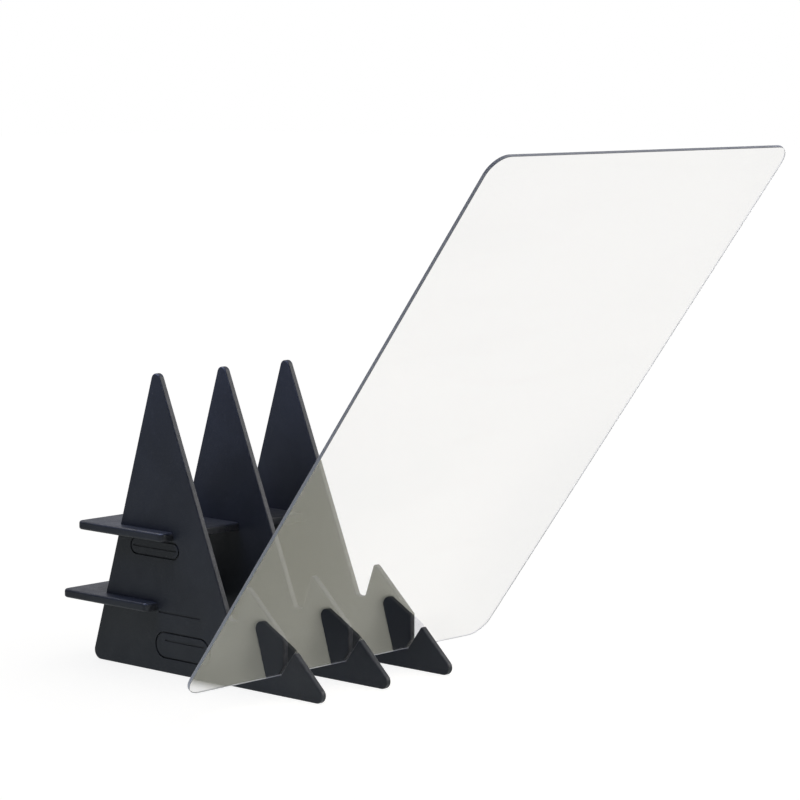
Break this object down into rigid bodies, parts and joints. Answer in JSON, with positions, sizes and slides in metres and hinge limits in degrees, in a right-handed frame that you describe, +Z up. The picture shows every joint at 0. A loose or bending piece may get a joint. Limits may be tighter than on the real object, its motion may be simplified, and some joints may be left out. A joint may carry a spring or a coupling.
{
  "type": "optical tracing board",
  "caption": "Desktop optical tracing board, a small teleprompter-like stand: toothed uprights on cross bars hold a phone and a sloping clear reflecting sheet.",
  "frame": {"origin": "on the floor, midway along the middle upright's base (between its rear foot and its toe, measured to the sharp corners)", "axes": "+X forward, from the bars' rear edge to the side that the sheet leans over; +Y along the row of uprights, from upright_left to upright_right; +Z up"},
  "size_m": [0.295, 0.187, 0.2337],
  "materials": {
    "stand_plastic": "fine satin moulded, dark charcoal",
    "panel_acrylic": "clear polished acrylic with a partly reflecting face"
  },
  "bodies": {
    "uprights": {"upright_left": "stand_plastic", "upright_middle": "stand_plastic", "upright_right": "stand_plastic"},
    "upper_bar": {"cross_bar_upper": "stand_plastic"},
    "lower_bar": {"cross_bar_lower": "stand_plastic"},
    "panel": {"reflector_panel": "panel_acrylic"}
  },
  "joints": [
    {"name": "panel_lift", "type": "slide", "parent": "uprights", "child": "panel", "axis": [0.592, 0, 0.8059], "range_m": [0, 0.03]},
    {"name": "upper_bar_slide", "type": "slide", "parent": "uprights", "child": "upper_bar", "axis": [-1, 0, 0], "range_m": [0, 0.036]},
    {"name": "lower_bar_slide", "type": "slide", "parent": "uprights", "child": "lower_bar", "axis": [-1, 0, 0], "range_m": [0, 0.036]}
  ]
}
